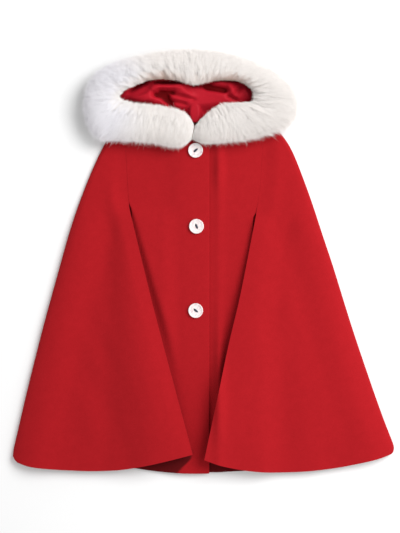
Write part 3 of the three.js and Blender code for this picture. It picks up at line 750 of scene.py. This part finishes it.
# The fur strip as it lies, in millimetres on the drawing, from its right end round the mouth to its left
FUR_SECTIONS = [
    {"outer": (-3.1, 466.5), "inner": (0.5, 486), "crown": 24, "under": "cape"},
    {"outer": (-14, 457.5), "inner": (-6, 497.5), "crown": 31, "under": "cape"},
    {"outer": (-28.5, 455.5), "inner": (-19.5, 508), "crown": 34, "under": "cape"},
    {"outer": (-55.5, 460.5), "inner": (-49.5, 513.5), "crown": 34, "under": "cape"},
    {"outer": (-91, 463.5), "inner": (-77, 516), "crown": 34, "under": "cape"},
    {"outer": (-130, 465.5), "inner": (-93, 518.5), "crown": 36, "under": "shoulder"},
    {"outer": (-148.5, 485.5), "inner": (-101.5, 522), "crown": 37, "under": "rim"},
    {"outer": (-153, 521), "inner": (-103.5, 525.5), "crown": 38, "under": "hood"},
    {"outer": (-143, 550), "inner": (-96, 534), "crown": 38, "under": "hood"},
    {"outer": (-117, 570.5), "inner": (-77, 543), "crown": 38, "under": "hood"},
    {"outer": (-79.5, 582.5), "inner": (-55.5, 549.5), "crown": 37, "under": "hood"},
    {"outer": (-37.5, 590), "inner": (-25.5, 548.5), "crown": 37, "under": "hood"},
    {"outer": (0, 592), "inner": (0, 541.5), "crown": 37, "under": "hood"},
    {"outer": (47.5, 586.5), "inner": (32, 548), "crown": 37, "under": "hood"},
    {"outer": (91.5, 572), "inner": (61.5, 546.5), "crown": 38, "under": "hood"},
    {"outer": (125, 552.5), "inner": (78.5, 536.5), "crown": 38, "under": "hood"},
    {"outer": (144.5, 526), "inner": (83, 526.5), "crown": 38, "under": "hood"},
    {"outer": (143, 496.5), "inner": (79.5, 518.5), "crown": 37, "under": "rim"},
    {"outer": (123, 479), "inner": (61.5, 516.5), "crown": 36, "under": "shoulder"},
    {"outer": (83.5, 467), "inner": (43.5, 516.5), "crown": 34, "under": "cape"},
    {"outer": (43.5, 462), "inner": (27, 509.5), "crown": 34, "under": "cape"},
    {"outer": (15, 460.5), "inner": (11.5, 496.5), "crown": 31, "under": "cape"},
    {"outer": (-2.4, 466.5), "inner": (1.5, 486), "crown": 24, "under": "cape"},
]

# A section is widest at this share of its height
WAIST = 0.4
PLACES = 1200
CORE_STATIONS = 150
CORE_ENDS = (0.004, 0.996)
CORE_SIDES = 20

FUR_SEED = 11
FUR_PARTS = ["right_neck", "right_cheek", "crown", "left_cheek", "left_neck"]
LOCKS_ALONG = 350
LOCKS_ACROSS = 16
HAIRS_PER_LOCK = 40
HAIR_WIDTH = 0.36 * MM
# A hair's width at its root and halfway, as shares of the full one; it ends in a point
HAIR_WIDTHS = (1.0, 0.8)
# How far out of the pile's middle the strip, a root and a bend lie, where tips are at 1
CORE_SHARE = 0.7
ROOT_SHARE = 0.9 * CORE_SHARE
BEND_SHARE = 0.86
# A bend stays back from the middle of root and tip by this share of the lean
BEND_LEAN = 0.3
# No tip or bend lies lower than this share of the pile's underside and this much more
LOWEST_SHARE = 0.85
LOWEST_LIFT = 0.2 * MM
# The angles round a section, in degrees, between which the hairs root
FIRST_ROOT = -28
LAST_ROOT = 192
# How far round the section each lock's tips lie from its roots. Locks lie outwards, but from the first of
# these angles on more and more of them lie into the mouth, and from the second on all of them.
LEAN = math.radians(44)
PARTING_FROM = 75
PARTING_TO = 165
# How far a hair's root and its tip stray, as a share of the strip and round the section, how far a lock is
# turned along the strip, and how much of the way its tips draw together
ROOT_STRAY = (0.0032, math.radians(11))
TIP_STRAY = (0.003, math.radians(6))
LOCK_TURN = 0.006
DRAW = (0.15, 0.52)
TIP_ANGLES = (math.radians(-50), math.radians(215))
# Tips round the section's outer edge are more ragged, and end a little further in
EDGE_ANGLES = (math.radians(10), math.radians(50))
EDGE_TRIM = 0.06
RAGGEDNESS = 0.043
EDGE_RAGGEDNESS = 0.075
LOCK_RAGGEDNESS = 0.03
# The hairs are shaded as a body flatter than the pile, whose sides face up a little, and lifted further
FLATTENING = 0.5
PILE_LIFT = np.array([0, 0, 1.5])
LEAST_UP = 0.3
# How far a hair twists, how much of its own blade's normal it is shaded with, and how much that varies
BLADE_TWIST = 0.25
BLADE_SHARE = 0.22
SHADING_SPREAD = 0.06
# A hair's tone varies with its lock and by itself, and carries painted light: whiter to the right, away
# from the key light
HOOD_HALF = 150 * MM
LOCK_TONE = 0.12
HAIR_TONE = 0.15
PAINTED_LIGHT_TONE = 0.65
# The white gets a painted brownish shade inwards of an angle in degrees, round two places along the strip,
# counted in sections, and is coolest at the right cheek under a painted cool cast of light
NEUTRAL_WARMTH = 0.4
WARMTH_SPREAD = 0.03
WARM_SECTIONS = (10.3, 13.6)
WARM_REACH = 1.1
INWARD_FROM = 125
INWARD_BLEND = 60
COOL_FROM = -55 * MM
COOL_BLEND = 80 * MM


def curve_through(rows):
    """Values through a table's rows, which are one step apart, at any place along them."""
    rows = np.array(rows, float)
    last = len(rows) - 1

    def at(s):
        i = np.clip(np.floor(s).astype(int), 0, last - 1)
        t = (s - i)[..., None] if rows.ndim > 1 else s - i
        before, start, end, after = (rows[np.clip(i + k, 0, last)] for k in (-1, 0, 1, 2))
        start_slope, end_slope = (end - before) / 2, (after - start) / 2
        return eased_curve(t, start, start_slope, end, end_slope)

    return at


fur_outer = curve_through([on_drawing(*row["outer"]) for row in FUR_SECTIONS])
fur_inner = curve_through([on_drawing(*row["inner"]) for row in FUR_SECTIONS])
fur_crown = curve_through([row["crown"] * MM for row in FUR_SECTIONS])
fur_foot = curve_through([FUR_UNDERSIDE[row["under"]][0] * MM for row in FUR_SECTIONS])
fur_lip = curve_through([FUR_UNDERSIDE[row["under"]][1] * MM for row in FUR_SECTIONS])


def fur_places():
    """Places along the strip that are evenly spaced on its middle line, from 0 to the last section."""
    last = len(FUR_SECTIONS) - 1
    s = np.linspace(0, last, PLACES)
    middle = (fur_outer(s) + fur_inner(s)) / 2
    lengths = np.concatenate([[0], np.cumsum(np.linalg.norm(np.diff(middle, axis=0), axis=1))])
    return lambda share: np.interp(share * lengths[-1], lengths, s)


def fur_point(s, angle, share):
    """A point of the pile at an angle round its section, 0 outwards and 180 degrees into the mouth.

    share is 1 at the tips and less towards the strip that the pile grows on.
    """
    outer, inner = fur_outer(s), fur_inner(s)
    middle = (outer + inner) / 2
    reach = (outer - inner) / 2
    side = (1 + np.cos(angle)) / 2
    under = fur_lip(s) * (1 - side) + fur_foot(s) * side
    waist = under + WAIST * (fur_crown(s) - under)
    up = np.sin(angle)
    height = np.where(up > 0, fur_crown(s) - waist, waist - under)
    plan = middle + reach * (np.cos(angle) * share)[..., None]
    return np.column_stack([plan, waist + up * height * share])


def fur_core(material):
    """The strip that the pile grows on, seen only where the hairs part."""
    around = CORE_SIDES
    s = fur_places()(np.linspace(*CORE_ENDS, CORE_STATIONS))
    angles = np.linspace(0, 2 * math.pi, around, endpoint=False)
    rings = [fur_point(np.full(around, at), angles, np.full(around, CORE_SHARE)) for at in s]
    points = np.concatenate(rings)
    faces = []
    for i in range(CORE_STATIONS - 1):
        for k in range(around):
            a, b = i * around + k, i * around + (k + 1) % around
            faces.append((a, b, b + around, a + around))
    faces.append(tuple(reversed(range(around))))
    faces.append(tuple(range(len(points) - around, len(points))))
    mesh = bpy.data.meshes.new("fur_trim_strip")
    mesh.from_pydata(points.tolist(), [], faces)
    mesh.update()
    core = add_object(mesh.name, mesh)
    select_only(core)
    bpy.ops.object.mode_set(mode="EDIT")
    bpy.ops.mesh.select_all(action="SELECT")
    bpy.ops.mesh.normals_make_consistent(inside=False)
    bpy.ops.object.mode_set(mode="OBJECT")
    core.data.shade_smooth()
    finish_piece(core, material, "fur", "fur_trim")
    return core


def hair_mesh(name, roots, bends, tips, sideways, outward, tones_and_painted_light, tint_and_painted_light):
    """Flat tapering hairs that each bend over one point to their tip, and shade as the pile does."""
    count = len(roots)
    levels = len(HAIR_WIDTHS)
    per_hair = 2 * levels + 1
    points = np.empty((count, per_hair, 3))
    along = np.empty((count, per_hair))
    for level, width in enumerate(HAIR_WIDTHS):
        t = level / levels
        middle = (1 - t) ** 2 * roots + 2 * t * (1 - t) * bends + t**2 * tips
        half = sideways * (HAIR_WIDTH * width / 2)
        points[:, 2 * level] = middle - half
        points[:, 2 * level + 1] = middle + half
        along[:, 2 * level : 2 * level + 2] = t
    points[:, -1] = tips
    along[:, -1] = 1
    triangles = []
    for level in range(levels - 1):
        a = 2 * level
        triangles += [(a, a + 1, a + 3), (a, a + 3, a + 2)]
    triangles.append((per_hair - 3, per_hair - 2, per_hair - 1))
    corners = (np.array(triangles)[None] + (np.arange(count) * per_hair)[:, None, None]).reshape(-1)
    mesh = bpy.data.meshes.new(name)
    mesh.vertices.add(count * per_hair)
    mesh.vertices.foreach_set("co", points.ravel())
    mesh.loops.add(len(corners))
    mesh.loops.foreach_set("vertex_index", corners)
    mesh.polygons.add(len(corners) // 3)
    mesh.polygons.foreach_set("loop_start", np.arange(0, len(corners), 3))
    mesh.update(calc_edges=True)
    mark(mesh, "along", along.ravel())
    mark(mesh, "tone", np.repeat(tones_and_painted_light, per_hair))
    mark(mesh, "tint_and_painted_light", np.repeat(tint_and_painted_light, per_hair))
    mesh.shade_smooth()
    mesh.normals_split_custom_set_from_vertices(np.repeat(outward, per_hair, axis=0).tolist())
    return add_object(name, mesh)


def unit(vectors):
    return vectors / np.maximum(np.linalg.norm(vectors, axis=1), 1e-9)[:, None]


def pile_normal(s, angle):
    """The way out of the pile at an angle round its section."""
    reach = (fur_outer(s) - fur_inner(s)) / 2
    half_width = np.linalg.norm(reach, axis=1)
    plan = FLATTENING * reach / half_width[:, None] * (np.cos(angle) / half_width)[:, None]
    half_height = (fur_crown(s) - fur_foot(s)) / 2
    return unit(np.column_stack([plan, np.maximum(np.sin(angle), LEAST_UP) / half_height]))


def pile_painted_light(s, angle):
    """Painted light in the white: brownish shade where the crown turns into the mouth, a cool cast at the
    right cheek.
    """
    inward = smooth_step((np.degrees(angle) - INWARD_FROM) / INWARD_BLEND)
    on_crown = sum(np.exp(-(((s - section) / WARM_REACH) ** 2)) for section in WARM_SECTIONS)
    at_right = smooth_step((DRAWING_X + COOL_FROM - fur_outer(s)[:, 0]) / COOL_BLEND)
    warmer = (1 - NEUTRAL_WARMTH) * inward * on_crown
    cooler = NEUTRAL_WARMTH * at_right * (1 - inward)
    return NEUTRAL_WARMTH + warmer - cooler


def grow_locks(rng, part):
    """What each hair has from its lock, for one part of the strip, as columns of one value per hair."""
    locks_here = LOCKS_ALONG // len(FUR_PARTS)
    along, across = np.meshgrid(np.arange(locks_here), np.arange(LOCKS_ACROSS), indexing="ij")
    along = along.ravel() + rng.uniform(0, 1, along.size)
    across = across.ravel() + rng.uniform(0, 1, across.size)
    angle = np.radians(FIRST_ROOT + (LAST_ROOT - FIRST_ROOT) * across / LOCKS_ACROSS)
    lock = {
        "share": (part + along / locks_here) / len(FUR_PARTS),
        "angle": angle,
        "tone": rng.uniform(0, 1, along.size),
        "turn": rng.normal(0, 1, along.size),
        "reach": rng.normal(0, LOCK_RAGGEDNESS, along.size),
    }
    inward = smooth_step((np.degrees(angle) - PARTING_FROM) / (PARTING_TO - PARTING_FROM))
    lock["lean"] = LEAN * np.where(rng.uniform(0, 1, along.size) < inward, -1, 1)
    return {name: np.repeat(column, HAIRS_PER_LOCK) for name, column in lock.items()}


def hair_paths(rng, place, lock):
    """Each hair's place along the strip, its angles at root and tip, and its root, bend and tip."""
    count = lock["share"].size
    share = np.clip(lock["share"] + rng.normal(0, ROOT_STRAY[0], count), 0, 1)
    angle = lock["angle"] + rng.normal(0, ROOT_STRAY[1], count)
    s = place(share)
    root = fur_point(s, angle, np.full(count, ROOT_SHARE))

    turned = lock["turn"] * LOCK_TURN
    own_share = share + turned + rng.normal(0, TIP_STRAY[0], count)
    own_angle = angle - lock["lean"] + rng.normal(0, TIP_STRAY[1], count)
    draw = rng.uniform(*DRAW, count)
    tip_share = np.clip(own_share * (1 - draw) + (lock["share"] + turned) * draw, 0, 1)
    tip_angle = own_angle * (1 - draw) + (lock["angle"] - lock["lean"]) * draw
    tip_angle = np.clip(tip_angle, *TIP_ANGLES)
    at_edge = smooth_step((EDGE_ANGLES[1] - tip_angle) / (EDGE_ANGLES[1] - EDGE_ANGLES[0]))
    reach = 1 - EDGE_TRIM * at_edge + lock["reach"]
    reach += rng.normal(0, 1, count) * (RAGGEDNESS + EDGE_RAGGEDNESS * at_edge)
    tip = fur_point(place(tip_share), tip_angle, reach)
    bend = fur_point(s, (angle + tip_angle) / 2 + lock["lean"] * BEND_LEAN, np.full(count, BEND_SHARE))

    underside = np.where(np.cos(tip_angle) > 0, fur_foot(s), fur_lip(s))
    for ends in (tip, bend):
        ends[:, 2] = np.maximum(ends[:, 2], underside * LOWEST_SHARE + LOWEST_LIFT)
    return s, angle, tip_angle, root, bend, tip


def hair_sides(rng, outward, direction):
    """Each hair's way across its blade, and the normal that it is shaded with."""
    flat = unit(np.cross(direction, outward)) + rng.normal(0, BLADE_TWIST, direction.shape)
    sideways = unit(flat - direction * (np.sum(flat * direction, 1) / np.sum(direction**2, 1))[:, None])
    facing = np.cross(sideways, direction)
    sideways *= np.sign(np.sum(facing * PILE_LIFT, 1))[:, None]
    blade = unit(np.cross(sideways, direction))
    lifted = unit(outward + PILE_LIFT)
    varied = rng.normal(0, SHADING_SPREAD, direction.shape)
    return sideways, unit((1 - BLADE_SHARE) * lifted + BLADE_SHARE * blade + varied)


def fur_pile(material):
    """All the hairs, in locks that draw together at their tips, as one piece for each part of the strip."""
    rng = np.random.default_rng(FUR_SEED)
    place = fur_places()
    pieces = []
    for part, part_name in enumerate(FUR_PARTS):
        lock = grow_locks(rng, part)
        s, angle, tip_angle, root, bend, tip = hair_paths(rng, place, lock)
        sideways, shading = hair_sides(rng, pile_normal(s, (angle + tip_angle) / 2), tip - root)
        count = len(root)
        # Painted light: the pile is whiter away from the key light
        painted_light_share = 1 - np.clip((root[:, 0] - DRAWING_X) / (2 * HOOD_HALF) + 0.5, 0, 1)
        tones_and_painted_light = LOCK_TONE * lock["tone"] + rng.uniform(0, HAIR_TONE, count) + PAINTED_LIGHT_TONE * painted_light_share
        # Painted shade and a painted cool cast, with a little random tint
        tint_and_painted_light = np.clip(pile_painted_light(s, tip_angle) + rng.normal(0, WARMTH_SPREAD, count), 0, 1)
        pile = hair_mesh(f"fur_pile_{part_name}", root, bend, tip, sideways, shading, tones_and_painted_light, tint_and_painted_light)
        finish_piece(pile, material, "fur")
        pieces.append(pile)
    return pieces


def fur():
    core = fur_core(fur_material("fur_backing", (0.8, 0.78, 0.76), (0.8, 0.78, 0.76)))
    pile = fur_pile(fur_material("white_fur", (0.83, 0.81, 0.79), (0.92, 0.91, 0.9)))


# Buttons

BUTTON_RADIUS = 10.2 * MM
BUTTON_HEIGHT = 3.2 * MM
BUTTON_STEPS = [(1.2 * MM, 0), (0.9 * MM, 0.5 * MM), (0.5 * MM, 0.1 * MM), (1.2 * MM, 0.4 * MM)]
BUTTONS = [
    {"node": "button_top", "turn": 40},
    {"node": "button_middle", "turn": -68},
    {"node": "button_bottom", "turn": -40},
]
EYE_LENGTH = 9 * MM
EYE_WIDTH = 3.6 * MM
EYE_HALF_DEPTH = 0.75 * MM
EYE_DROP = 1.0 * MM
HOLE_RADIUS = 0.95 * MM
WORN_EDGE = 0.45 * MM
THREAD_SPACING = 5.6 * MM
THREAD_RADIUS = 0.4 * MM
THREAD_LAYS = (-0.9 * MM, -0.3 * MM, 0.3 * MM, 0.9 * MM)
THREAD_DROP = 1.6 * MM
# The thread's way from hole to hole, in shares of half their spacing and millimetres of height, and how
# near its lays come to each other in the holes
THREAD_ROUTE = [(-1, -2.0), (-1, -0.2), (-0.55, 0.75), (0.55, 0.75), (1, -0.2), (1, -2.0)]
THREAD_PINCH = 0.75


def pick_faces(obj, wanted):
    """Selects the faces that a test wants, in edit mode."""
    bpy.ops.mesh.select_mode(type="FACE")
    bpy.ops.mesh.select_all(action="DESELECT")
    mesh = bmesh.from_edit_mesh(obj.data)
    for face in mesh.faces:
        if wanted(face):
            face.select_set(True)
    bmesh.update_edit_mesh(obj.data)


def cut_away(obj, tool):
    cut = obj.modifiers.new("cut", "BOOLEAN")
    cut.operation = "DIFFERENCE"
    cut.object = tool
    apply_modifiers(obj)
    bpy.data.objects.remove(tool)


def shell_button(row, material):
    """A round button with a rim, a dish, a sunk eye and two holes."""
    low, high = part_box(row["node"])
    x, y = (low[0] + high[0]) / 2, (low[1] + high[1]) / 2
    base = low[2]
    turn = math.radians(row["turn"])
    bpy.ops.object.select_all(action="DESELECT")
    bpy.ops.mesh.primitive_cylinder_add(
        vertices=64, radius=BUTTON_RADIUS, depth=BUTTON_HEIGHT, location=(x, y, base + BUTTON_HEIGHT / 2)
    )
    button = bpy.context.object
    button.name = button.data.name = f"{row['node']}_shell"
    bpy.ops.object.transform_apply(location=True, rotation=False, scale=False)
    bpy.ops.object.mode_set(mode="EDIT")
    pick_faces(button, lambda face: face.normal.z > 0.9)
    for inset, drop in BUTTON_STEPS:
        bpy.ops.mesh.inset(thickness=inset)
        bpy.ops.transform.translate(value=(0, 0, -drop))
    bpy.ops.object.mode_set(mode="OBJECT")
    bevel = button.modifiers.new("worn_edges", "BEVEL")
    bevel.width = WORN_EDGE
    bevel.segments = 3
    bevel.angle_limit = math.radians(25)
    apply_modifiers(button)

    eye_z = base + BUTTON_HEIGHT - EYE_DROP
    bpy.ops.mesh.primitive_uv_sphere_add(segments=32, ring_count=16, radius=1, location=(x, y, eye_z))
    eye = bpy.context.object
    eye.scale = (EYE_LENGTH / 2, EYE_WIDTH / 2, EYE_HALF_DEPTH)
    eye.rotation_euler = (0, 0, turn)
    cut_away(button, eye)
    for end in (-1, 1):
        hole_x = x + end * THREAD_SPACING / 2 * math.cos(turn)
        hole_y = y + end * THREAD_SPACING / 2 * math.sin(turn)
        bpy.ops.mesh.primitive_cylinder_add(
            vertices=24, radius=HOLE_RADIUS, depth=4 * BUTTON_HEIGHT, location=(hole_x, hole_y, base)
        )
        cut_away(button, bpy.context.object)
    select_only(button)
    bpy.ops.object.shade_smooth_by_angle(angle=math.radians(35))
    finish_piece(button, material, "shell", row["node"])
    return button


def button_thread(row, material):
    """Thread laid four times from hole to hole in the button's eye."""
    low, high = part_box(row["node"])
    x, y = (low[0] + high[0]) / 2, (low[1] + high[1]) / 2
    eye_floor = high[2] - THREAD_DROP
    turn = math.radians(row["turn"])
    curve = bpy.data.curves.new(f"{row['node']}_thread", "CURVE")
    curve.dimensions = "3D"
    curve.bevel_depth = THREAD_RADIUS
    curve.bevel_resolution = 2
    curve.use_fill_caps = True
    for offset in THREAD_LAYS:
        spline = curve.splines.new("NURBS")
        spline.points.add(len(THREAD_ROUTE) - 1)
        spline.use_endpoint_u = True
        spline.order_u = 3
        for point, (share, rise) in zip(spline.points, THREAD_ROUTE):
            along = share * THREAD_SPACING / 2
            across = offset * (THREAD_PINCH if abs(share) == 1 else 1)
            px = x + along * math.cos(turn) - across * math.sin(turn)
            py = y + along * math.sin(turn) + across * math.cos(turn)
            point.co = (px, py, eye_floor + rise * MM, 1)
    thread = add_object(curve.name, curve)
    select_only(thread)
    bpy.ops.object.convert(target="MESH")
    thread = bpy.context.object
    thread.data.shade_smooth()
    finish_piece(thread, material, "shell")
    return thread


def buttons():
    shell, thread = shell_material(), thread_material()
    for row in BUTTONS:
        shell_button(row, shell)
        button_thread(row, thread)


# Studio

SOFTBOXES = [
    {"name": "key", "place": (1.15, 0.8, 1.35), "size": 1.3, "power": 39},
    {"name": "fill", "place": (0.95, -0.3, 0.7), "size": 0.7, "power": 3.5},
]
SKY_STRENGTH = 0.71
FLOOR_SIZE = 8


def camera():
    data = bpy.data.cameras.new("camera")
    data.lens = LENS_MM
    data.sensor_width = SENSOR_MM
    data.clip_end = 20
    obj = add_object("camera", data)
    obj.location = (DRAWING_X + CAMERA_X, DRAWING_Y + CAMERA_Y, PHOTO_LONG_SIDE * LENS_MM / SENSOR_MM)
    bpy.context.scene.camera = obj


def softbox(name, place, size, power):
    data = bpy.data.lights.new(name, "AREA")
    data.shape = "DISK"
    data.size = size
    data.energy = power
    obj = add_object(name, data)
    obj.location = place
    obj.rotation_euler = Vector([-c for c in place]).to_track_quat("-Z", "Y").to_euler()


def studio():
    bpy.ops.object.select_all(action="DESELECT")
    bpy.ops.mesh.primitive_plane_add(size=FLOOR_SIZE, location=(0, 0, 0))
    floor = bpy.context.object
    floor.name = "floor"
    looks = {"Base Color": (0.8, 0.8, 0.8, 1), "Roughness": 0.9, "Specular IOR Level": 0.1}
    floor.data.materials.append(new_material("pale_floor", looks)[0])
    for row in SOFTBOXES:
        softbox(**row)
    world = bpy.data.worlds.new("studio")
    world.use_nodes = True
    set_inputs(world.node_tree.nodes["Background"], {"Color": (1, 1, 1, 1), "Strength": SKY_STRENGTH})
    bpy.context.scene.world = world
    bpy.context.scene.view_settings.view_transform = "Standard"


studio()
camera()
wool = wool_material(fibre_group())
wool_panels(wool)
hood(wool, satin_material())
fur()
buttons()
